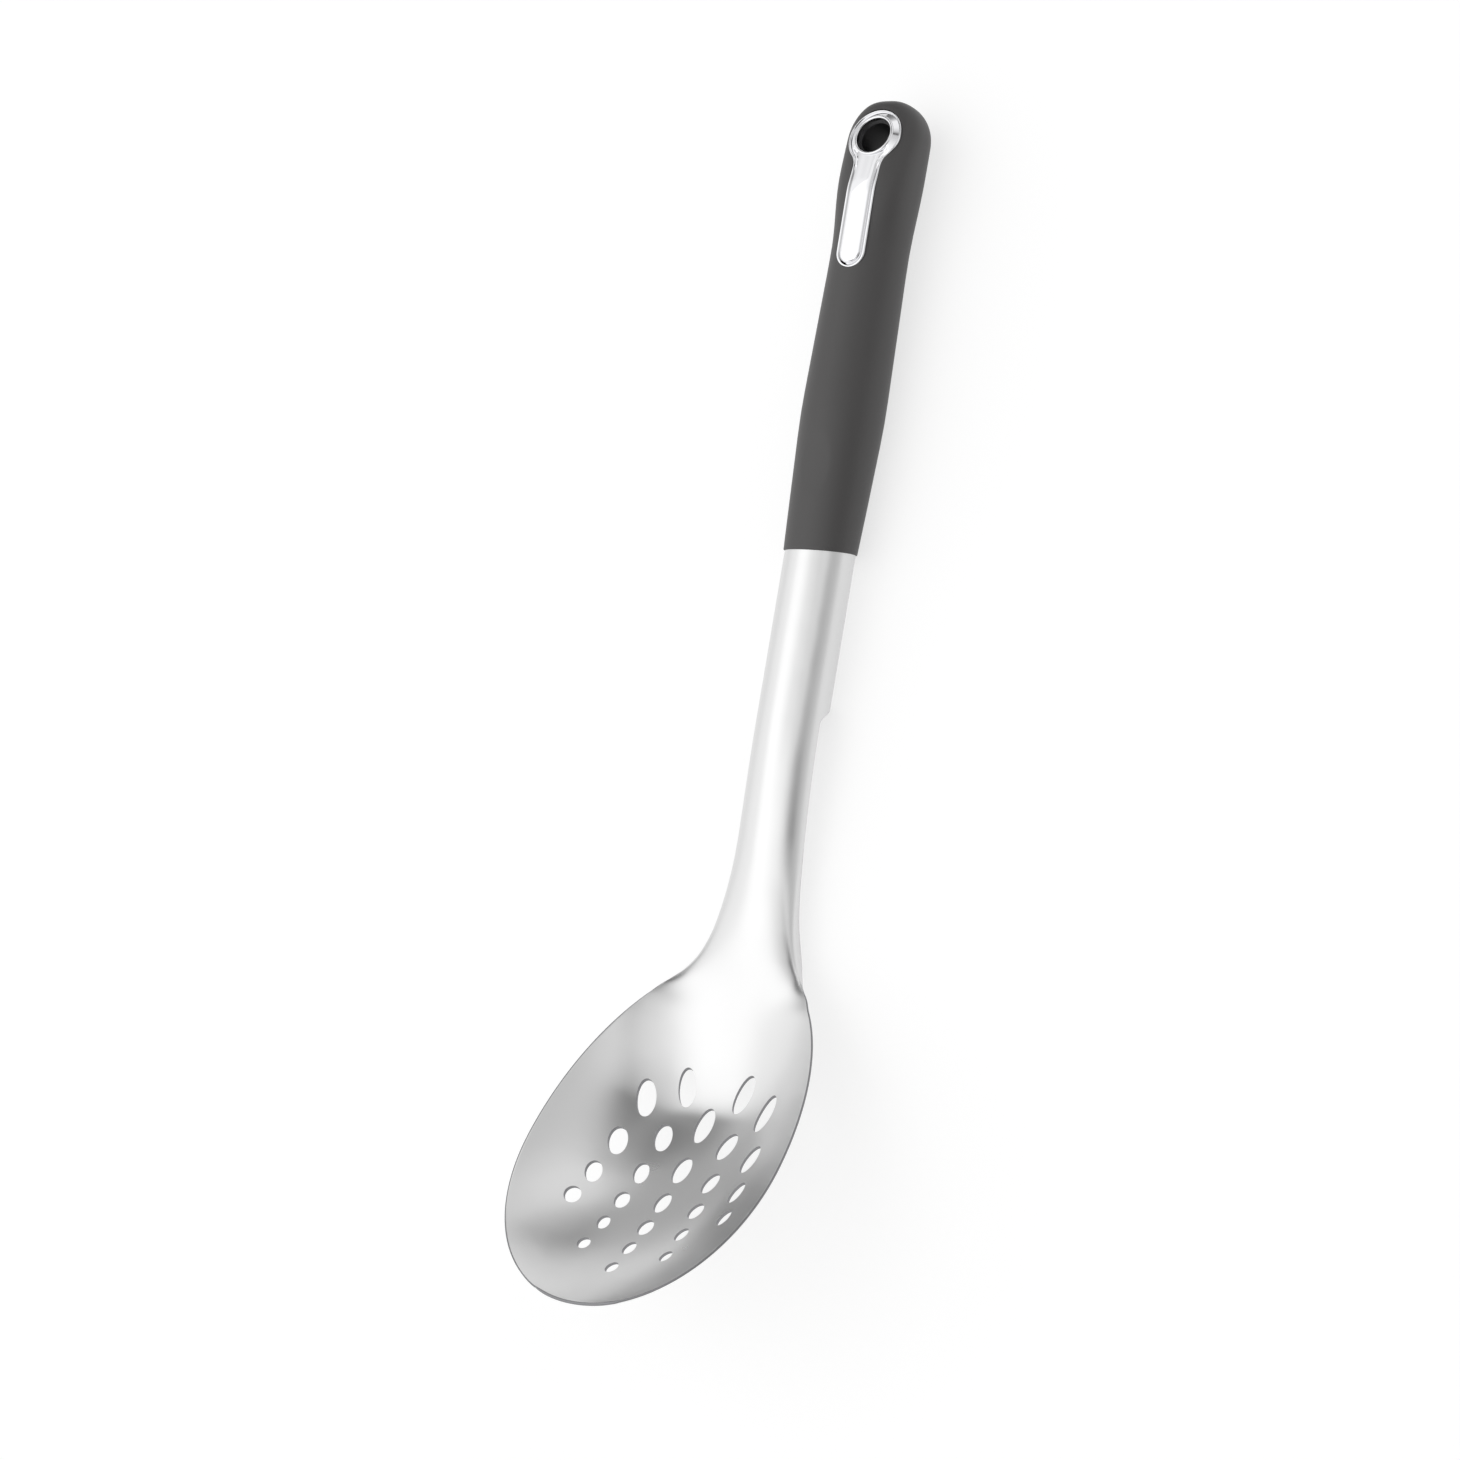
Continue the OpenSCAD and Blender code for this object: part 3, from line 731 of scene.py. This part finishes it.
def inlay_height(p, inside):
    """Height of the face: a rounded rim, a cone up to the ring's lip, a valley round the tongue's plateau."""
    x, y, r = np.abs(p[..., 0]), p[..., 1], np.hypot(p[..., 0], p[..., 1])
    down = ease((-y - tongue_from) / tongue_run)
    rim = -mix(ring_rim_drop, tongue_rim_drop, down)
    edge = rim_r - np.sqrt(np.maximum(0, rim_r**2 - (rim_r - np.minimum(inside, rim_r)) ** 2))
    groove = groove_d * ease((inside - groove_from) / groove_run)
    cone = cone_h * np.clip((inside - cone_from) / cone_run, 0, 1) - groove
    valley = -valley_d * ease((inside - groove_from) / valley_run)
    ground = rim - edge + mix(cone, valley, down)
    plateau = -x * x / (2 * crown_r)
    turned = ease((plateau_turn - np.arctan2(x, -y)) / plateau_turn_run)
    face = mix(ground, plateau, turned * ease((inside - plateau_from) / plateau_run))
    lip = lip_foot + np.sqrt(np.maximum(0, lip_r**2 - (r - lip_at) ** 2))
    outside = np.where(r < lip_at + lip_r, np.maximum(face, lip), face)
    return np.where(r < lip_at, lip, outside)


def on_inlay(p):
    """Developed plan and height of the inlay, bent gently from the eye's face to the line of the tongue."""
    reach = fold_r * math.tan(fold / 2)
    a = np.clip((reach - root_len - p[:, 1]) / fold_r, 0, fold)
    past = np.maximum(0, reach - root_len - p[:, 1] - fold_r * fold)
    y = np.maximum(p[:, 1], reach - root_len) - fold_r * np.sin(a) - past * math.cos(fold)
    z = -fold_r * (1 - np.cos(a)) - past * math.sin(fold)
    return on_eye(np.column_stack([p[:, 0], y - p[:, 2] * np.sin(a), z + p[:, 2] * np.cos(a)]))


patches, faces = [], []


def add_patch(grid, flip=False):
    """A grid of points in developed plan and height, as one patch of faces."""
    rows, cols = grid.shape[:2]
    g = np.arange(rows * cols).reshape(rows, cols) + sum(len(part) for part in patches)
    quads = np.stack([g[:-1, :-1], g[1:, :-1], g[1:, 1:], g[:-1, 1:]], -1).reshape(-1, 4)
    faces.extend((quads[:, ::-1] if flip else quads).tolist())
    patches.append(grid.reshape(-1, 3))


def closed(loop):
    return np.concatenate([loop, loop[:1]])


def at_level(line, level):
    """The points of a line, with one more measure that is the same for all."""
    return np.column_stack([line, np.full(len(line), level)])


def raised(plan, inside):
    """A grid of plan points, each at the height of the inlay's face."""
    return np.concatenate([plan, inlay_height(plan, inside)[..., None]], -1)


# Band along the rim, in steps inwards, and the wall below it
fine_insets = [0, 0.02, 0.07, 0.14, rim_r, 0.34, 0.43, 0.52, cone_from, 0.75, 0.9, 1.05, 1.15]
insets = np.array(fine_insets + [plateau_from, 1.32, 1.39, 1.46, plateau_from + plateau_run, band])
loops = np.array([closed(whole(inlay_outline(-inset))) for inset in insets])
rim_band = raised(loops, np.broadcast_to(insets[:, None], loops.shape[:2]))
add_patch(rim_band)
add_patch(np.array([at_level(loops[0], -seat_d), rim_band[0]]))

# Rays over the ring, and the bore below its lip
inner = inlay_outline(-band)
lip_turns = np.linspace(0, math.pi, 23)
lip_radii = bore_r + lip_r * (1 - np.cos(lip_turns))
cone_radii = np.linspace(lip_at + lip_r + lip_clear, ring_r - band, 12)
radii = np.concatenate([lip_radii, cone_radii])
arc = inner[toe_at:]
arc = np.concatenate([arc, arc[:-1][::-1] * (-1, 1)])
rays = arc[None] / (ring_r - band) * radii[:, None, None]
add_patch(raised(rays, np.broadcast_to((ring_r - radii)[:, None], rays.shape[:2])), flip=True)
wall = rays[0]
add_patch(np.array([at_level(wall, -seat_d), at_level(wall, lip_foot)]), flip=True)

# Rows across the foot of the ring and the tongue: curved near the ring, straight further down
shares = np.sin(np.linspace(-math.pi / 2, math.pi / 2, 61))
straight_from = 7.0
straight_run = 14.0
side_line = [tuple(v) for v in rays[:, 0]] + [tuple(v) for v in inner[:toe_at][::-1]]
rows = []
for n, (x, y) in enumerate(side_line):
    r = math.hypot(x, y)
    flat = ease((-y - straight_from) / straight_run) * (n >= len(radii))
    curved = -np.sqrt(np.maximum(0, r * r - (x * shares) ** 2))
    rows.append(np.column_stack([x * shares, mix(curved, y, flat)]))
rows = np.array(rows)
inside = np.maximum(band, ring_r - np.hypot(rows[..., 0], rows[..., 1]))
add_patch(raised(rows, inside), flip=True)
add_patch(np.array([at_level(rows[0], -seat_d), at_level(rows[0], lip_foot)]), flip=True)

# Flat underside, with its own rows
outer = inlay_outline()
left_right = np.array([at_level(x * shares, y) for x, y in outer[: toe_at + 1]])
ring_side = outer[toe_at:]
ring_side = np.concatenate([ring_side, ring_side[:-1][::-1] * (-1, 1)])
for under_plan in (left_right, np.array([left_right[-1], rows[0]]), np.array([ring_side, wall])):
    add_patch(np.concatenate([under_plan, np.full(under_plan.shape[:2] + (1,), -seat_d)], -1))
mesh = bpy.data.meshes.new("hanging_inlay_chrome")
mesh.from_pydata(lay_down(on_inlay(np.concatenate(patches))).tolist(), [], faces)
mesh.validate()
inlay = new_piece("hanging_inlay_chrome", mesh)
outward(inlay)
shade(inlay, 50)

# Bright chromium plating over smooth plastic: nearly a mirror, with a faint haze that comes and goes over
# some millimetres.
haze_w = 5.6
bright_chrome = new_material("bright_chromium_plating")
tree = bright_chrome.node_tree
place = add_node(tree, "ShaderNodeTexCoord")
haze = add_node(
    tree,
    "ShaderNodeTexNoise",
    {"Scale": mm_per_m / haze_w, "Detail": 2.0},
    {"Vector": place.outputs["Object"]},
)
rough = add_node(
    tree, "ShaderNodeMapRange", {"To Min": 0.05, "To Max": 0.09}, {"Value": haze.outputs["Fac"]}
)
chrome = add_node(
    tree,
    "ShaderNodeBsdfPrincipled",
    {"Base Color": linear("#e6e6e8"), "Metallic": 1.0},
    {"Roughness": rough.outputs["Result"]},
)
add_node(tree, "ShaderNodeOutputMaterial", links={"Surface": chrome.outputs["BSDF"]})
inlay.data.materials.append(bright_chrome)
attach(inlay, "root")
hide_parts("hanging_inlay")

# Table: a plain white board, wide enough for every view. The camera and the steel see it white, and it still
# takes a soft shadow. Other light meets it as matt paint.
board_half = 6.0
board = bpy.data.meshes.new("white_board")
corners = [(x * board_half, y * board_half, 0) for x, y in ((-1, -1), (1, -1), (1, 1), (-1, 1))]
board.from_pydata(corners, [], [[0, 1, 2, 3]])
table = new_piece("white_board", board)
white_paint = new_material("matt_white_paint")
tree = white_paint.node_tree
rays = add_node(tree, "ShaderNodeLightPath")
shown = rays.outputs["Is Camera Ray"]
for ray in ("Is Glossy Ray", "Is Transmission Ray"):
    either = add_node(tree, "ShaderNodeMath", {"operation": "MAXIMUM"}, {0: shown, 1: rays.outputs[ray]})
    shown = either.outputs["Value"]
matt = add_node(tree, "ShaderNodeBsdfDiffuse", {"Color": linear("#f2f2f2")})
shadow_taker = add_node(tree, "ShaderNodeBsdfDiffuse", {"Color": linear("#a0a0a0")})
glow = add_node(tree, "ShaderNodeEmission", {"Color": linear("#ffffff"), "Strength": 0.7})
white = add_node(
    tree, "ShaderNodeAddShader", links={0: shadow_taker.outputs["BSDF"], 1: glow.outputs["Emission"]}
)
paint = add_node(
    tree, "ShaderNodeMixShader", links={"Fac": shown, 1: matt.outputs["BSDF"], 2: white.outputs["Shader"]}
)
add_node(tree, "ShaderNodeOutputMaterial", links={"Surface": paint.outputs["Shader"]})
board.materials.append(white_paint)

# Light: a white tent, brighter above and to the left, greyer half way up its right wall, with a dark gap
# high behind the handle. The camera sees plain white behind the spoon.

# The walls: pairs of the direction's height, from the horizon to the zenith, and a grey
right_wall_greys = [
    (0, 0.66), (0.12, 0.62), (0.3, 0.55), (0.45, 0.54), (0.6, 0.59), (0.72, 0.77), (0.85, 0.92), (1, 0.95)
]
left_wall_greys = [(0, 0.78), (0.12, 0.82), (0.3, 0.9), (0.5, 0.95), (1, 0.92)]
room = bpy.data.worlds.new("white_tent")
bpy.context.scene.world = room
room.use_nodes = True
tree = room.node_tree
tree.nodes.clear()
way = add_node(tree, "ShaderNodeTexCoord")
parts = add_node(tree, "ShaderNodeSeparateXYZ", links={"Vector": way.outputs["Generated"]})
side = add_node(
    tree,
    "ShaderNodeMapRange",
    {"From Min": -0.9, "From Max": 0.7, "To Min": 1.0, "To Max": 0.0},
    {"Value": parts.outputs["X"]},
)
wall_ramps = []
for levels in (right_wall_greys, left_wall_greys):
    ramp = add_node(tree, "ShaderNodeValToRGB", links={"Fac": parts.outputs["Z"]})
    stops = ramp.color_ramp.elements
    stops[0].color, stops[1].color = [(grey, grey, grey, 1) for _, grey in (levels[0], levels[-1])]
    for height, grey in levels[1:-1]:
        stops.new(height).color = (grey, grey, grey, 1)
    wall_ramps.append(ramp)
walls = add_node(
    tree,
    "ShaderNodeMix",
    {"data_type": "RGBA"},
    {"Factor": side.outputs["Result"], 6: wall_ramps[0].outputs["Color"], 7: wall_ramps[1].outputs["Color"]},
)

# The gap is a band between two heights, which lean with the direction across, and only behind the handle
gap_lean = -0.25
leaning = add_node(
    tree,
    "ShaderNodeMath",
    {"operation": "MULTIPLY_ADD", 1: gap_lean},
    {0: parts.outputs["X"], 2: parts.outputs["Z"]},
)
gap_edges = [
    (leaning.outputs["Value"], 0.55, 0.63),
    (leaning.outputs["Value"], 0.86, 0.76),
    (parts.outputs["Y"], 0.49, 0.58),
]
gap = None
for source, start, end in gap_edges:
    edge = add_node(
        tree,
        "ShaderNodeMapRange",
        {"interpolation_type": "SMOOTHSTEP", "From Min": start, "From Max": end},
        {"Value": source},
    )
    if gap is None:
        gap = edge.outputs["Result"]
    else:
        both = add_node(
            tree, "ShaderNodeMath", {"operation": "MULTIPLY"}, {0: gap, 1: edge.outputs["Result"]}
        )
        gap = both.outputs["Value"]
light = add_node(tree, "ShaderNodeMapRange", {"To Min": 1.25, "To Max": 0.0}, {"Value": gap})

# Soft round patches of the tent: degrees round from the right, degrees up from the horizon, the degrees at
# which the patch is full and gone, and its share of the light
tent_patches = [
    (132, -4, 22, 42, 0.5),
    (98, 0, 6, 24, 0.4),
    (-24, 40, 14, 28, 0.1),
    (84, 62, 10, 32, 0.42),
    (80, 27, 4, 24, 1.3),
]
strength = light.outputs["Result"]
for round_deg, up_deg, full_deg, gone_deg, share in tent_patches:
    a, e = math.radians(round_deg), math.radians(up_deg)
    towards = (math.cos(a) * math.cos(e), math.sin(a) * math.cos(e), math.sin(e))
    near = add_node(
        tree, "ShaderNodeVectorMath", {"operation": "DOT_PRODUCT", 1: towards}, {0: way.outputs["Generated"]}
    )
    patch = add_node(
        tree,
        "ShaderNodeMapRange",
        {
            "interpolation_type": "SMOOTHSTEP",
            "From Min": math.cos(math.radians(gone_deg)),
            "From Max": math.cos(math.radians(full_deg)),
            "To Min": 1.0,
            "To Max": share,
        },
        {"Value": near.outputs["Value"]},
    )
    both = add_node(
        tree, "ShaderNodeMath", {"operation": "MULTIPLY"}, {0: strength, 1: patch.outputs["Result"]}
    )
    strength = both.outputs["Value"]
air = add_node(tree, "ShaderNodeBackground", links={"Color": walls.outputs[2], "Strength": strength})
back = add_node(tree, "ShaderNodeBackground", {"Color": linear("#ffffff"), "Strength": 1.0})
rays = add_node(tree, "ShaderNodeLightPath")
shown = add_node(
    tree,
    "ShaderNodeMath",
    {"operation": "MAXIMUM"},
    {0: rays.outputs["Is Camera Ray"], 1: rays.outputs["Is Transmission Ray"]},
)
choose = add_node(
    tree,
    "ShaderNodeMixShader",
    links={"Fac": shown.outputs["Value"], 1: air.outputs["Background"], 2: back.outputs["Background"]},
)
add_node(tree, "ShaderNodeOutputWorld", links={"Surface": choose.outputs["Shader"]})

# One wide soft box hangs over the handle and the left of the table
box_w = 1.1
box_watts = 1.3
lamp = bpy.data.lights.new("soft_box", "AREA")
lamp.shape, lamp.size, lamp.size_y, lamp.energy = "RECTANGLE", box_w, box_w, box_watts
soft_box = bpy.data.objects.new("soft_box", lamp)
bpy.context.scene.collection.objects.link(soft_box)
soft_box.matrix_world = Matrix.Translation((-0.38, 0.2, 0.95)) @ Matrix.Rotation(math.radians(25), 4, "Z")

# Camera: above and to the right of the bowl's tip, with a long lens, turned so that the handle leans right.
# Its place in mm and its three directions are in the frame of the bowl's rim, and lie down with the spoon.
camera = bpy.data.objects.new("camera", bpy.data.cameras.new("camera"))
bpy.context.scene.collection.objects.link(camera)
bpy.context.scene.camera = camera
camera.data.sensor_width = 36.0
camera.data.lens = 98.63
camera.data.clip_end = 20.0
tilt = Matrix.Rotation(-lay_lean, 3, "X")
right_way = tilt @ Vector((0.81793, 0.40885, -0.40475))
up_way = tilt @ Vector((-0.05800, 0.75855, 0.64903))
back_way = tilt @ Vector((0.57238, -0.50739, 0.64415))
spot = Vector(lay_down(np.array([590.49, -425.77, 713.80])))
turn = Matrix((right_way, up_way, back_way)).transposed().to_4x4()
camera.matrix_world = Matrix.Translation(spot) @ turn
bpy.context.scene.view_settings.view_transform = "Standard"
